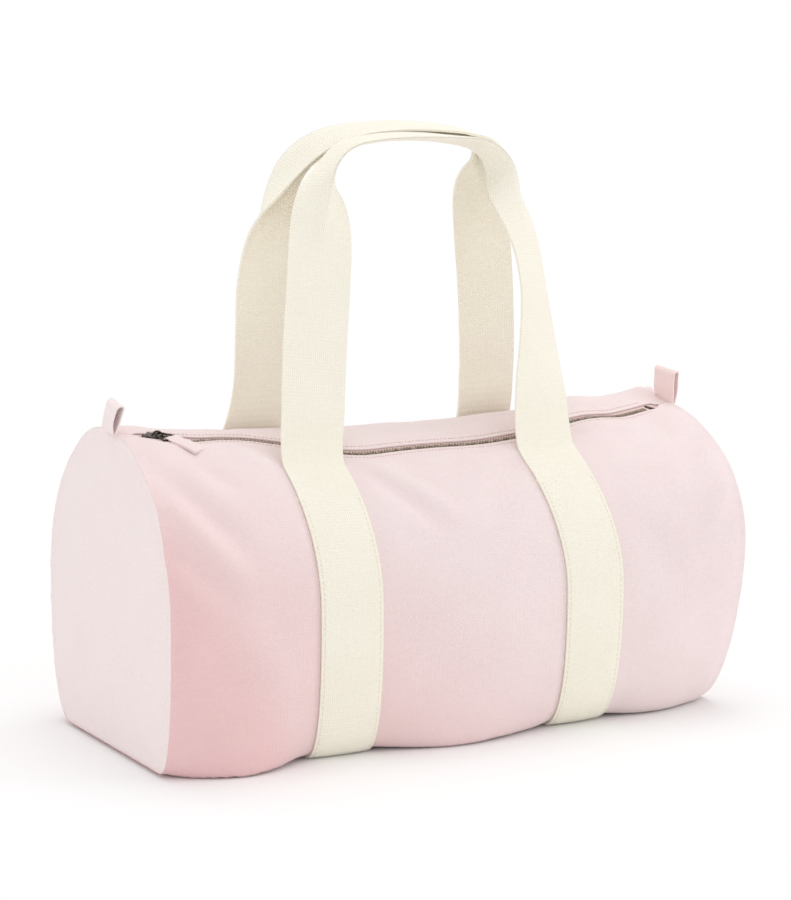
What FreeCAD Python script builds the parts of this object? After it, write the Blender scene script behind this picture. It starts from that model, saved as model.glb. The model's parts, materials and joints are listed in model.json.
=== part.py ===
import FreeCAD, Part
import math
import os

from FreeCAD import Vector

# Barrel bag of cotton canvas with a top zip and two webbing handles.
# X runs along the barrel, -Y faces the front, +Z is up, the floor is at Z 0.
# Every size is in millimetres and every angle in degrees.

# Canvas barrel, outside sizes
bag_length = 490.0          # between the two end seams
bag_width = 234.0           # at the widest height
widest_height = 115.0
crest_height = 240.0        # top line of the barrel at the end seams
crest_sag = 10.0            # the top line hangs this much lower midway
crest_setback = 15.0        # the top line lies behind the middle
base_width = 176.0          # flat foot at the end seams and under the straps
bay_swell = 24.0            # the foot reaches this much further out between them
canvas = 1.0
end_bulge = 8.0             # the end panels swell outwards
dome_shoulder_inset = 35.0  # where the swell is mostly reached
dome_crown_inset = 75.0     # where it is fully reached
dome_shoulder_share = 0.7
seam_gap = 0.2              # between sewn pieces that lie face to face
binding_width = 12.0
binding_thickness = 1.4
overrun = 5.0               # how far a cutting solid passes the cut piece

# Webbing straps and handles
webbing_width = 50.0
webbing = 1.8
strap_spacing = 208.0       # between the middles of the straps
front_leave = 62.0          # a handle leaves the barrel this far before the middle
back_leave = 58.0           # and this far behind it
hinge_gap = 0.3             # between a handle's end and the strap under it
handle_rise = 243.0         # up the handle, from where it leaves to the grip's middle
leg_straight = 95.0         # leg pole height that keeps the lower leg upright
grip_half_span = 120.0      # pole that sets how square the handle's corners are
grip_width = 25.0           # the webbing folded in half
grip_thickness = 3.8
grip_roll = 80.0
grip_gap = 0.6              # between the two grips at rest
fold_shares = (0.52, 0.74)  # where the fold starts and is complete, along half a handle

# Zip
zip_end_inset = 23.0        # from an end seam to the stops
zip_end_forward = 14.0      # the zip's ends lie before the middle
zip_mid_forward = 45.0      # its middle hangs further forward
slot_half_width = 9.0       # canvas edge to zip middle
slot_end_gap = 4.0          # opening past the stops
tape_half_width = 14.0
tape_clearance = 0.5        # from a tooth's head to the other tape
tape = 0.7
tape_tail = 5.0             # tape past the stops
tooth_pitch = 2.5
tooth_thickness = 1.05
tooth_tip_thickness = 0.8
tooth_height = 2.4
tooth_reach = 1.0           # head past the zip middle
tooth_root = 3.2            # root from the zip middle
stop_length = 2.6
stop_height = 2.8
stop_inner = 0.8            # top stops: zip middle to their near face

# Slider, along the zip from its nose at the left
slider_length = 16.0
slider_nose_width = 11.6
slider_tip_width = 8.0
slider_tail_width = 9.4
slider_bevel = 1.6          # length of the nose's slanted corners
slider_shoulder = 6.5       # length of the wide part
slider_plate = 1.2
slider_channel = 3.0        # between the plates
slider_slit = 1.8           # between the flanges, for the tapes
flange = 0.9
post_start = 1.6            # wedge post, from the nose
post_length = 4.0
post_width = 3.2
post_clearance = 0.4
slider_gap = 0.3            # to the stops, at both ends of its travel
bridge_length = 9.0
bridge_height = 3.7
bridge_wall = 1.2
bridge_width = 2.0
bridge_start = 3.4          # from the nose

# Puller ring and pull tab
wire = 1.5
wire_clearance = 0.6
ring_near_width = 7.6       # between wire middles at the bridge
ring_far_width = 19.8       # and at the tab
ring_length = 11.8
pull_yaw = 38.0             # from the zip towards the front
pull_lift = 3.4             # pull tab's far end above the canvas
pull_width = 15.0
pull_length = 26.0
pull_ply = 1.1
pull_neck = 7.0             # from the ring to where the plies meet
bore_clearance = 0.15

# Tab loops at the ends of the zip
tab_width = 22.0
tab_forward = 3.0           # its middle, before the middle of the bag
tab_height = 27.0
tab_ply = 1.1
tab_bead = 1.3              # radius of the stitched foot
tab_top = 3.2               # radius of the loop's round top
tab_slit_start = 3.0        # loop opening above the foot


half_length = bag_length / 2
half_width = bag_width / 2
base_level = webbing + seam_gap
side_rise = widest_height - base_level
strap_x = strap_spacing / 2
strap_inner = strap_x - webbing_width / 2
strap_edge = strap_x + webbing_width / 2
zip_half_span = half_length - zip_end_inset
tape_edge = tooth_reach + tape_clearance
along_x = Vector(1, 0, 0)
tape_face = -(canvas + seam_gap)
tape_level = tape_face - tape / 2


def crest_at(x):
    """Height of the top line at x: a shallow parabola along the bag."""
    return crest_height - crest_sag * (1 - (x / half_length)**2)


def reach(y, grow):
    """Half axis of the quarter ellipse on the side of the crest where y lies."""
    side = -1 if y < crest_setback else 1
    return half_width + grow - side * crest_setback


def face_height(x, y, grow):
    """Height of the upper barrel face, moved out from the canvas by grow."""
    share = (y - crest_setback) / reach(y, grow)
    return widest_height + (crest_at(x) + grow - widest_height) * math.sqrt(1 - share**2)


def face_slope(x, y, grow):
    """Rise per run of that face towards +Y."""
    share = (y - crest_setback) / reach(y, grow)
    rise = crest_at(x) + grow - widest_height
    return -rise * share / (reach(y, grow) * math.sqrt(1 - share**2))


def foot_at(x):
    """Half width of the flat foot at x: it swells between the straps and the ends."""
    x = abs(x)
    if x < strap_inner:
        share = (x + strap_inner) / (2 * strap_inner)
    else:
        share = min(1, max(0, x - strap_edge) / (half_length - strap_edge))
    return base_width / 2 + bay_swell * math.sin(math.pi * share)**2


def section(x, grow, place, below):
    """Closed outline of the barrel as it is at x, grown outwards, set at X place.

    Its sides run on below the foot by the last length.
    """
    foot = foot_at(x)
    side_centre = (half_width**2 - foot**2 - side_rise**2) / (2 * (half_width - foot))
    low = base_level - grow - below
    wide = half_width + grow
    crest = crest_at(x) + grow
    side = wide - side_centre
    end_angle = math.asin((widest_height - low) / side)

    def side_point(turn, angle):
        y = side_centre + side * math.cos(angle)
        return Vector(place, turn * y, widest_height - side * math.sin(angle))

    def side_arc(turn):
        angles = (end_angle, end_angle / 2, 0)
        return Part.Arc(*[side_point(turn, angle) for angle in angles]).toShape()

    def quarter(turn):
        curve = Part.BezierCurve()
        curve.setPoles([
            Vector(place, turn * wide, widest_height),
            Vector(place, turn * wide, crest),
            Vector(place, crest_setback, crest),
        ])
        curve.setWeight(2, math.sqrt(1 / 2))
        return curve.toShape()

    under = Part.makeLine(side_point(-1, end_angle), side_point(1, end_angle))
    edges = [under, side_arc(1), quarter(1), quarter(-1), side_arc(-1)]
    return Part.Wire(Part.__sortEdges__(edges))


def barrel(grow, half):
    """Solid filling the barrel, grown outwards, out to X +half and -half."""
    bay_middle = (strap_edge + half_length) / 2
    right = [strap_inner, strap_edge, bay_middle, half_length, half_length + 2 * overrun]
    places = [-x for x in reversed(right)] + [0] + right
    loft = Part.makeLoft([section(x, grow, x, overrun) for x in places], True)
    low = Vector(-half, -bag_width, base_level - grow)
    return loft.common(block(low, Vector(half, bag_width, 2 * crest_height)))


def barrel_shell(outer, inner, half):
    """Layer of the barrel between two growths, open at its ends."""
    return barrel(outer, half).cut(barrel(inner, half + overrun))


def placed(origin, along, across, up):
    """Placement with these axes at the origin point."""
    rows = [[a, b, c, o] for a, b, c, o in zip(along, across, up, origin)]
    return FreeCAD.Placement(FreeCAD.Matrix(*rows[0], *rows[1], *rows[2], 0, 0, 0, 1))


def prism(outline, low, high):
    """Polygon in the XY plane, extruded from low to high."""
    corners = [Vector(u, v, low) for u, v in outline]
    face = Part.Face(Part.makePolygon(corners + corners[:1]))
    return face.extrude(Vector(0, 0, high - low))


def block(low, high):
    """Box between two corners."""
    size = high - low
    return Part.makeBox(size.x, size.y, size.z, low)


def tapered(first, second, length, width):
    """Two round ends and their tangents in the XZ plane, extruded along Y about 0."""
    lean = math.asin((first - second) / length)
    side = Vector(math.sin(lean), 0, math.cos(lean))
    flip = Vector(side.x, 0, -side.z)
    end = Vector(length, 0, 0)
    edges = [
        Part.Arc(flip * first, Vector(-first, 0, 0), side * first).toShape(),
        Part.makeLine(side * first, end + side * second),
        Part.Arc(end + side * second, Vector(length + second, 0, 0), end + flip * second).toShape(),
        Part.makeLine(end + flip * second, flip * first),
    ]
    solid = Part.Face(Part.Wire(edges)).extrude(Vector(0, width, 0))
    solid.translate(Vector(0, -width / 2, 0))
    return solid


# Canvas wrap and end panels

def end_panel(turn):
    """Domed end panel; turn is -1 for the left end and 1 for the right."""
    insets = (0, dome_shoulder_inset, dome_crown_inset)
    swells = (0, end_bulge * dome_shoulder_share, end_bulge)
    outlines = []
    for inset, swell in zip(insets, swells):
        outlines.append(section(half_length, -inset, turn * (half_length + swell), 0))
    dome = Part.makeLoft(outlines, True)
    hollow = dome.copy()
    hollow.translate(Vector(-turn * canvas, 0, 0))
    return dome.cut(hollow)


def seam_binding(turn):
    """Binding round the inside of an end seam."""
    inner = turn * (half_length - binding_width)
    outer = turn * (half_length - seam_gap)
    ring = barrel_shell(tape_face, tape_face - binding_thickness, half_length)
    tall = crest_height + overrun
    low = Vector(min(inner, outer), -bag_width, 0)
    high = Vector(max(inner, outer), bag_width, tall)
    return ring.common(block(low, high))


# Zip line: an arc in a plane that leans forward

def tape_point(x, forward):
    """Point on the middle of the tape."""
    return Vector(x, -forward, face_height(x, -forward, tape_level))


zip_middle = tape_point(0, zip_mid_forward)
zip_left = tape_point(-zip_half_span, zip_end_forward)
chord_middle = Vector(0, zip_left.y, zip_left.z)
zip_bow = (zip_middle - chord_middle).Length
zip_radius = (zip_half_span**2 + zip_bow**2) / (2 * zip_bow)
zip_down = (zip_middle - chord_middle).normalize()
zip_axis = zip_down.cross(along_x)
zip_centre = zip_middle - zip_down * zip_radius
zip_half_run = zip_radius * math.asin(zip_half_span / zip_radius)


def zip_place(run):
    """Frame on the tape, run along the zip from its middle: along, to the back, out."""
    angle = run / zip_radius
    on_arc = zip_centre + (zip_down * math.cos(angle) + along_x * math.sin(angle)) * zip_radius
    along = along_x * math.cos(angle) - zip_down * math.sin(angle)
    origin = Vector(on_arc.x, on_arc.y, face_height(on_arc.x, on_arc.y, tape_level))
    back = Vector(0, 1, face_slope(on_arc.x, on_arc.y, tape_level))
    out = along.cross(back).normalize()
    return placed(origin, along, out.cross(along), out)


def zip_strip(front, back, start, end):
    """Upright strip along the zip between two distances in front of its middle."""
    depth = bag_width / 2
    low = Vector(0, 0, -depth / 2)
    angle = math.degrees((end - start) / zip_radius)
    outer = Part.makeCylinder(zip_radius + front, depth, low, Vector(0, 0, 1), angle)
    inner = Part.makeCylinder(zip_radius + back, depth, low, Vector(0, 0, 1), angle)
    strip = outer.cut(inner)
    strip.rotate(Vector(0, 0, 0), Vector(0, 0, 1), math.degrees(start / zip_radius))
    strip.Placement = placed(zip_centre, zip_down, along_x, zip_axis).multiply(strip.Placement)
    return strip


slot_end = zip_half_run + slot_end_gap
slot = zip_strip(slot_half_width, -slot_half_width, -slot_end, slot_end)
body_panel = barrel_shell(0, -canvas, half_length).cut(slot)

slider_run = -zip_half_run + stop_length / 2 + slider_gap + slider_length / 2
slider_end_run = zip_half_run - stop_length / 2 - slider_gap - slider_length / 2
nose = -slider_length / 2
post_back = nose + post_start + post_length
tape_end = zip_half_run + tape_tail
tape_layer = barrel_shell(tape_face, tape_face - tape, half_length)
parted_half = post_width / 2 + post_clearance
parted_end = slider_run + post_back + post_clearance
parting = zip_strip(parted_half, -parted_half, -tape_end - overrun, parted_end)


def zip_tape(turn):
    """Tape in front of (turn 1) or behind (turn -1) the zip's middle."""
    sides = sorted((turn * tape_edge, turn * tape_half_width))
    strip = zip_strip(sides[1], sides[0], -tape_end, tape_end)
    return tape_layer.common(strip).cut(parting)


def zip_teeth(turn):
    """Row of teeth clamped on one tape; turn as for the tapes."""
    outline = [
        (-tooth_thickness / 2, -turn * tooth_root),
        (tooth_thickness / 2, -turn * tooth_root),
        (tooth_thickness / 2, 0),
        (tooth_tip_thickness / 2, turn * tooth_reach),
        (-tooth_tip_thickness / 2, turn * tooth_reach),
        (-tooth_thickness / 2, 0),
    ]
    tooth = prism(outline, -tooth_height / 2, tooth_height / 2)
    first = parted_end + tooth_thickness / 2
    last = zip_half_run - stop_length / 2 - tooth_pitch
    run = first if turn == 1 else first + tooth_pitch / 2
    row = []
    while run < last:
        copy = tooth.copy()
        copy.Placement = zip_place(run)
        row.append(copy)
        run += tooth_pitch
    return Part.makeCompound(row)


def zip_stop(run, inner, outer):
    """Metal clamp on the tapes, between two distances behind the zip's middle."""
    low = Vector(-stop_length / 2, inner, -stop_height / 2)
    high = Vector(stop_length / 2, outer, stop_height / 2)
    clamp = block(low, high)
    clamp.Placement = zip_place(run).multiply(clamp.Placement)
    return clamp


stop_outer = slider_tail_width / 2
top_stops = Part.makeCompound([
    zip_stop(-zip_half_run, parted_half - stop_inner, stop_outer),
    zip_stop(-zip_half_run, -stop_outer, -parted_half + stop_inner),
])
bottom_stop = zip_stop(zip_half_run, -stop_outer, stop_outer)


# Slider, made in its own frame: along the zip, to the back, out

def slider_outline(inset, past):
    """Plan of the slider; inset from its sides and run past its ends."""
    tip = slider_tip_width / 2 - inset
    wide = slider_nose_width / 2 - inset
    tail = slider_tail_width / 2 - inset
    half = [
        (nose - past, tip),
        (nose + slider_bevel, wide),
        (nose + slider_shoulder, wide),
        (-nose + past, tail),
    ]
    return half + [(u, -v) for u, v in reversed(half)]


def arch(length, height):
    """Edges of an arch from 0 to length."""
    top = Vector(length / 2, 0, height)
    end = Vector(length, 0, 0)
    return Part.Arc(Vector(0, 0, 0), top, end).toShape()


def bridge():
    """Arch on the top plate that holds the puller ring."""
    inner_length = bridge_length - 2 * bridge_wall
    outer = Part.Face(Part.Wire([arch(bridge_length, bridge_height),
                                 Part.makeLine(Vector(bridge_length, 0, 0), Vector(0, 0, 0))]))
    inner = Part.Face(Part.Wire([arch(inner_length, bridge_height - bridge_wall),
                                 Part.makeLine(Vector(inner_length, 0, 0), Vector(0, 0, 0))]))
    inner.translate(Vector(bridge_wall, 0, 0))
    rib = outer.cut(inner).extrude(Vector(0, bridge_width, 0))
    rib.translate(Vector(nose + bridge_start, -bridge_width / 2, plate_top))
    return rib


plate_top = slider_channel / 2 + slider_plate


def slider():
    """Two flanged plates on a wedge post, with the bridge on top."""
    body = prism(slider_outline(0, 0), -plate_top, plate_top)
    channel = prism(slider_outline(flange, overrun), -slider_channel / 2, slider_channel / 2)
    slit_low = Vector(nose - overrun, -slider_nose_width, -slider_slit / 2)
    slit_high = Vector(-nose + overrun, slider_nose_width, slider_slit / 2)
    body = body.cut(channel).cut(block(slit_low, slit_high))
    front = nose + post_start
    post = [
        (front, 0),
        (front + post_length / 2, -post_width / 2),
        (front + post_length, 0),
        (front + post_length / 2, post_width / 2),
    ]
    return body.fuse([prism(post, -plate_top, plate_top), bridge()]).removeSplitter()


slider_place = zip_place(slider_run)
slider_body = slider()
slider_body.Placement = slider_place.multiply(slider_body.Placement)

# Puller ring and pull tab lie down the front from the bridge
ring_seat = Vector(nose + bridge_start + bridge_length / 2, 0, plate_top + wire_clearance + wire / 2)
ring_origin = slider_place.multVec(ring_seat)
yaw = math.radians(pull_yaw)
pull_flat = slider_place.Rotation.multVec(Vector(math.cos(yaw), -math.sin(yaw), 0))
pull_run = ring_length + pull_length
pull_x = ring_origin.x + pull_flat.x * pull_run
pull_y = ring_origin.y + pull_flat.y * pull_run
pull_far = Vector(pull_x, pull_y, face_height(pull_x, pull_y, pull_lift + pull_ply))
pull_along = (pull_far - ring_origin).normalize()
pull_across = slider_place.Rotation.multVec(Vector(0, 0, 1)).cross(pull_along).normalize()
pull_out = pull_along.cross(pull_across)
ring_place = placed(ring_origin, pull_along, pull_across, pull_out)
pull_place = placed(ring_origin + pull_along * ring_length, pull_along, pull_across, pull_out)


def wire_ring(corners):
    """Round wire bent through these corners and closed."""
    pieces = []
    for start, end in zip(corners, corners[1:] + corners[:1]):
        pieces.append(Part.makeCylinder(wire / 2, (end - start).Length, start, end - start))
        pieces.append(Part.makeSphere(wire / 2, end))
    return pieces[0].fuse(pieces[1:]).removeSplitter()


puller = wire_ring([
    Vector(0, -ring_near_width / 2, 0),
    Vector(0, ring_near_width / 2, 0),
    Vector(ring_length, ring_far_width / 2, 0),
    Vector(ring_length, -ring_far_width / 2, 0),
])
puller.Placement = ring_place


def pull_strip():
    """Canvas strip folded round the ring and stitched flat."""
    bore = wire / 2 + bore_clearance
    eye = tapered(bore + pull_ply, pull_ply, pull_neck, pull_width)
    flat = tapered(pull_ply, pull_ply, pull_length - pull_neck, pull_width)
    flat.translate(Vector(pull_neck, 0, 0))
    hole = Part.makeCylinder(bore, 2 * pull_width, Vector(0, -pull_width, 0), Vector(0, 1, 0))
    return eye.fuse(flat).cut(hole).removeSplitter()


pull_tab = pull_strip()
pull_tab.Placement = pull_place


# Tab loops in the end seams

def tab_frame(turn):
    """Frame at a tab's foot: up the tab, along its width, and across it."""
    x = turn * half_length
    lift = tab_bead + seam_gap
    width = Vector(0, 1, face_slope(x, -tab_forward, 0)).normalize()
    up = along_x.cross(width)
    foot = Vector(x, -tab_forward, face_height(x, -tab_forward, 0))
    return placed(foot + up * lift, up, width, up.cross(width))


def tab_loop(turn):
    """Folded canvas strip, its stitched foot round on the line it flops about."""
    top = tab_height - tab_bead - tab_top
    loop = tapered(tab_bead, tab_top, top, tab_width)
    spread_share = tab_slit_start / top
    start = tab_bead + (tab_top - tab_bead) * spread_share - tab_ply
    opening = tapered(start, tab_top - tab_ply, top - tab_slit_start, 2 * tab_width)
    opening.translate(Vector(tab_slit_start, 0, 0))
    loop = loop.cut(opening)
    loop.Placement = tab_frame(turn)
    return loop


# Straps sewn round the barrel, and the handles they run on into

axis_grow = seam_gap + webbing + hinge_gap + webbing / 2
front_hinge = Vector(0, -front_leave, face_height(strap_edge, -front_leave, axis_grow))
back_hinge = Vector(0, back_leave, face_height(strap_edge, back_leave, axis_grow))
strap_layer = barrel_shell(seam_gap + webbing, seam_gap, half_length)


def strap(turn):
    """Webbing sewn from one hinge line under the barrel to the other."""
    low = Vector(turn * strap_x - webbing_width / 2, -bag_width, -overrun)
    high = Vector(turn * strap_x + webbing_width / 2, bag_width, crest_height + overrun)
    band = strap_layer.common(block(low, high))
    hub = Vector(low.x - overrun, crest_setback, widest_height)
    front = Vector(hub.x, front_hinge.y, front_hinge.z)
    back = Vector(hub.x, back_hinge.y, back_hinge.z)
    top = Vector(hub.x, crest_setback, 2 * crest_height)
    corners = [hub, hub + (front - hub) * 2, top, hub + (back - hub) * 2, hub]
    wedge = Part.Face(Part.makePolygon(corners))
    return band.cut(wedge.extrude(Vector(webbing_width + 2 * overrun, 0, 0)))


def ease(start, end, value):
    """Smooth step from 0 at start to 1 at end."""
    share = min(1, max(0, (value - start) / (end - start)))
    return share * share * (3 - 2 * share)


def handle(hinge, turn):
    """Handle from a hinge line: two legs and the folded grip, leaning to the middle.

    turn is 1 for the handle that leans back and -1 for the one that leans forward.
    """
    roll_full = math.radians(grip_roll)
    depth = (grip_width * math.sin(roll_full) + grip_thickness * math.cos(roll_full)) / 2
    lean = math.asin((abs(hinge.y) - depth - grip_gap / 2) / handle_rise)
    up = Vector(0, turn * math.sin(lean), math.cos(lean))
    face = Vector(0, -turn * math.cos(lean), math.sin(lean))
    legs = ((strap_x, 0), (strap_x, leg_straight), (grip_half_span, handle_rise), (0, handle_rise))

    def on_path(t):
        weights = ((1 - t)**3, 3 * t * (1 - t)**2, 3 * t**2 * (1 - t), t**3)
        across = sum(weight * pole[0] for weight, pole in zip(weights, legs))
        rise = sum(weight * pole[1] for weight, pole in zip(weights, legs))
        return across, rise

    def heading(t):
        weights = ((1 - t)**2, 2 * t * (1 - t), t**2)
        steps = [(b[0] - a[0], b[1] - a[1]) for a, b in zip(legs, legs[1:])]
        across = sum(weight * step[0] for weight, step in zip(weights, steps))
        rise = sum(weight * step[1] for weight, step in zip(weights, steps))
        length = math.hypot(across, rise)
        return across / length, rise / length

    def webbing_section(t, side):
        """Cross-section at t along the half; side is -1 on the left, 1 on the right."""
        across, rise = on_path(t)
        run, climb = heading(t)
        fold = ease(*fold_shares, t)
        roll = roll_full * fold
        half_wide = (webbing_width + (grip_width - webbing_width) * fold) / 2
        half_thick = (webbing + (grip_thickness - webbing) * fold) / 2
        middle = hinge + along_x * (side * across) + up * rise
        along = along_x * (side * run) + up * climb
        along = along * -side
        flat = along_x * (along.dot(up)) - up * along.x
        wide = flat * math.cos(roll) + face * math.sin(roll)
        thick = along.cross(wide)
        signs = ((-1, -1), (1, -1), (1, 1), (-1, 1), (-1, -1))
        corners = [middle + wide * (half_wide * a) + thick * (half_thick * b) for a, b in signs]
        return Part.makePolygon(corners)

    steps = 14
    left = [webbing_section(i / steps, -1) for i in range(steps + 1)]
    right = [webbing_section(i / steps, 1) for i in range(steps)]
    pieces = [Part.makeLoft(left + right[::-1], True, True)]
    for side in (-1, 1):
        start = hinge + along_x * (side * strap_x - webbing_width / 2)
        pieces.append(Part.makeCylinder(webbing / 2, webbing_width, start, along_x))
    return pieces[0].fuse(pieces[1:]).removeSplitter()


nodes = {
    "body_panel": body_panel,
    "left_end_panel": end_panel(-1),
    "right_end_panel": end_panel(1),
    "left_seam_binding": seam_binding(-1),
    "right_seam_binding": seam_binding(1),
    "left_tab_loop": tab_loop(-1),
    "right_tab_loop": tab_loop(1),
    "left_strap": strap(-1),
    "right_strap": strap(1),
    "front_handle": handle(front_hinge, 1),
    "back_handle": handle(back_hinge, -1),
    "front_zip_tape": zip_tape(1),
    "back_zip_tape": zip_tape(-1),
    "front_zip_teeth": zip_teeth(1),
    "back_zip_teeth": zip_teeth(-1),
    "zip_top_stops": top_stops,
    "zip_bottom_stop": bottom_stop,
    "zip_slider": slider_body,
    "zip_puller": puller,
    "zip_pull_tab": pull_tab,
}

os.makedirs("parts", exist_ok=True)
for name, shape in nodes.items():
    solid = shape.Solids[0] if len(shape.Solids) == 1 else shape
    solid.exportStep("parts/" + name + ".step")
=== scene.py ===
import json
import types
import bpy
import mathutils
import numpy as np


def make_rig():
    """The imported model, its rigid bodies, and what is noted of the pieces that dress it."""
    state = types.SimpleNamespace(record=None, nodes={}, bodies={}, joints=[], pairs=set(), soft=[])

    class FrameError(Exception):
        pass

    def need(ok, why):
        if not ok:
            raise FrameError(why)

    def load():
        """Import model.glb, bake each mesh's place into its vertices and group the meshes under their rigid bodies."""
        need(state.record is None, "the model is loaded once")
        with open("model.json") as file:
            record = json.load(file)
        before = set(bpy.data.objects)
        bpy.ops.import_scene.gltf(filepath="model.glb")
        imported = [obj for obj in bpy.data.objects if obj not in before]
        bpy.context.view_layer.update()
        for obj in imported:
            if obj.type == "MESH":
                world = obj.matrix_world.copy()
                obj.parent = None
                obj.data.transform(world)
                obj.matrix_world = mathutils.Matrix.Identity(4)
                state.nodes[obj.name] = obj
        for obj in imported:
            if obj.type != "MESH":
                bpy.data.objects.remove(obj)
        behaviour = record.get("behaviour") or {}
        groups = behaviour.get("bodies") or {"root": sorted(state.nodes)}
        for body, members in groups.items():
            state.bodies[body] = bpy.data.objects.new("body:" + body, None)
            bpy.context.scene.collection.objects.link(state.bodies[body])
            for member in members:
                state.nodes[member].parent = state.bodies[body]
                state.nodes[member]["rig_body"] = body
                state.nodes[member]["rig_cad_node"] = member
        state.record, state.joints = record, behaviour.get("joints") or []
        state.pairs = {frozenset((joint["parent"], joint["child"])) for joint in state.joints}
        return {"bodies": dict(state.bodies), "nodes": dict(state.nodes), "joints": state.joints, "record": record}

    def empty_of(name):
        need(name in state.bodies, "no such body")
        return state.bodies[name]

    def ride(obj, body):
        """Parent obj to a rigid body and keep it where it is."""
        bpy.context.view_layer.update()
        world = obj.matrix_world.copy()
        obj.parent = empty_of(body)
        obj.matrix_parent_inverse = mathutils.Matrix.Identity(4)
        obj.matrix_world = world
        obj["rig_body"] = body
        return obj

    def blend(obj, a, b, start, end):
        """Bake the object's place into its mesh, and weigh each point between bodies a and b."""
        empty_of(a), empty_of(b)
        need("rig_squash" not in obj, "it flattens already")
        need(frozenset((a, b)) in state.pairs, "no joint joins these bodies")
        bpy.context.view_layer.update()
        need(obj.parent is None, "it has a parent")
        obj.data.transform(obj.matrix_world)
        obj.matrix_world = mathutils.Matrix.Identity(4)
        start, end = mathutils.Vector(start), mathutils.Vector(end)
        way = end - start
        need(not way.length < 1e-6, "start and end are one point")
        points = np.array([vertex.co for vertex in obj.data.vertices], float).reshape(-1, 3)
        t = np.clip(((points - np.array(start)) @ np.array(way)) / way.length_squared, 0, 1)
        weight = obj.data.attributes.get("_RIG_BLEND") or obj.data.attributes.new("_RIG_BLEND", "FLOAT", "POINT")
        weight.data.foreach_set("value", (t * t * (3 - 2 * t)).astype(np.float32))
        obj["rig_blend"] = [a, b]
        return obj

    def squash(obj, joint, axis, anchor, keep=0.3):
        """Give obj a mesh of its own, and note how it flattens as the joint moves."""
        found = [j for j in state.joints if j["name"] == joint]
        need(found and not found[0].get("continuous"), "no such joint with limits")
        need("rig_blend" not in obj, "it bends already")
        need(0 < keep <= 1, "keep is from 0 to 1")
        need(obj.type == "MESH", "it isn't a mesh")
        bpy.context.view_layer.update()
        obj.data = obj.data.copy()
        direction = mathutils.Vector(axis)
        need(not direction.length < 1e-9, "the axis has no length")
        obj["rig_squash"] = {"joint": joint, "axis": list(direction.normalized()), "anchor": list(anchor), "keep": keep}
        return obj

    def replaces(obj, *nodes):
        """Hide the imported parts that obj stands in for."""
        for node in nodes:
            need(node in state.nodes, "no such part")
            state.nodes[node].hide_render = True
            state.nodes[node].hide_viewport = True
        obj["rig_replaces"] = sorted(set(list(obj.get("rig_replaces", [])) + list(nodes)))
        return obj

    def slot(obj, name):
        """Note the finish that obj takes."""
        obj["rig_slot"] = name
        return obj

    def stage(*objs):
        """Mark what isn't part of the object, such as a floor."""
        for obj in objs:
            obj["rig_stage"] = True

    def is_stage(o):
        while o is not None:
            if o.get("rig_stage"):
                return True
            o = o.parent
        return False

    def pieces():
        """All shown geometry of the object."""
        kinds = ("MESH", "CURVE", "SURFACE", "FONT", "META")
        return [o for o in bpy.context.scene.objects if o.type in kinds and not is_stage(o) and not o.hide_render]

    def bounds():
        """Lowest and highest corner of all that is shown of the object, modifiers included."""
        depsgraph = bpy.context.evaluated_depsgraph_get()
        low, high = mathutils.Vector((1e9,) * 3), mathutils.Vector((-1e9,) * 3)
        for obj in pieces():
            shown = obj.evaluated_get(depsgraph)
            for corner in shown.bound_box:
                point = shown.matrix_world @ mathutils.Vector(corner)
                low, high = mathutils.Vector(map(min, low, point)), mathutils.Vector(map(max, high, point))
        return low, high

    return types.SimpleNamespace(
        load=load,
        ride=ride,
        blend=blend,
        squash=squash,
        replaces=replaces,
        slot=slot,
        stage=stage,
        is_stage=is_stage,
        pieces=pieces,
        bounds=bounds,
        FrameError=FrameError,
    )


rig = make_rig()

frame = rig.load()
cad_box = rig.bounds()

import bisect
import json
import math

import bmesh
import bpy
from mathutils import Matrix, Vector, noise

# All lengths are in metres. X runs along the barrel and -Y faces the front.

# Body panel: one wrap of pale pink cotton canvas, sewn to the end panels and open
# along the top for the zip. Empty, it slumps out on the floor between the straps
# and stays drawn in where the straps and the end seams hold it.

half_length = 0.245
half_width = 0.1165
crest_height = 0.2395
crest_sag = 0.0100
crest_setback = 0.0150
widest_height = 0.115
crest_rise = 0.0030          # beside the right strap the crest stands higher
rise_starts = (0.02, 0.10)   # along X, where that rise comes and where it goes
rise_ends = (0.15, 0.19)
crest_ridge = 0.0090         # the canvas also stands up behind the right half of the zip
ridge_behind = 0.0280        # from the zip to the top of that ridge
ridge_spread = 0.0140
ridge_grows = (0.03, 0.16)   # along X
foot_level = 0.0026
bay_drop = 0.0018
side_power = 0.80            # below 1 the lower sides are fuller than an ellipse
right_power = 0.40           # more at the right of the front, which is drawn in
right_lift = 0.0220          # and has its widest level higher up
left_reach = 0.0100          # the back reaches further out at the left
left_drop = 0.0040           # and has its widest level lower down
end_bays = 0.10              # along X, where the end bays start to differ so
end_lean = 0.0030            # the top of the left end leans in
lean_levels = (0.150, 0.236)    # over this height
lean_start = 0.200           # from the middle of the bag, where that starts
floor_gap = 0.0003           # the canvas stays just off the floor
canvas_thickness = 0.0010
strap_middle = 0.104
strap_half = 0.025
zip_bow_centre_y = 0.566997
zip_bow_radius = 0.706484
zip_bow_lean = 0.8662575
lip_half_gap = 0.0060        # canvas edge to zip middle
lip_closing = 0.0020         # less between the places where the slider rests
lip_opens = (0.172, 0.194)   # along X, where that changes
slot_end = 0.2262
slot_close = 0.2330
slot_least = 0.0003          # half of the slot where it is sewn shut
zip_straight = (0.165, 0.205)   # along X, where the zip's wander dies out


def smooth(start, end, value):
    """Smooth step from 0 at start to 1 at end."""
    share = min(1.0, max(0.0, (value - start) / (end - start)))
    return share * share * (3.0 - 2.0 * share)


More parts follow.
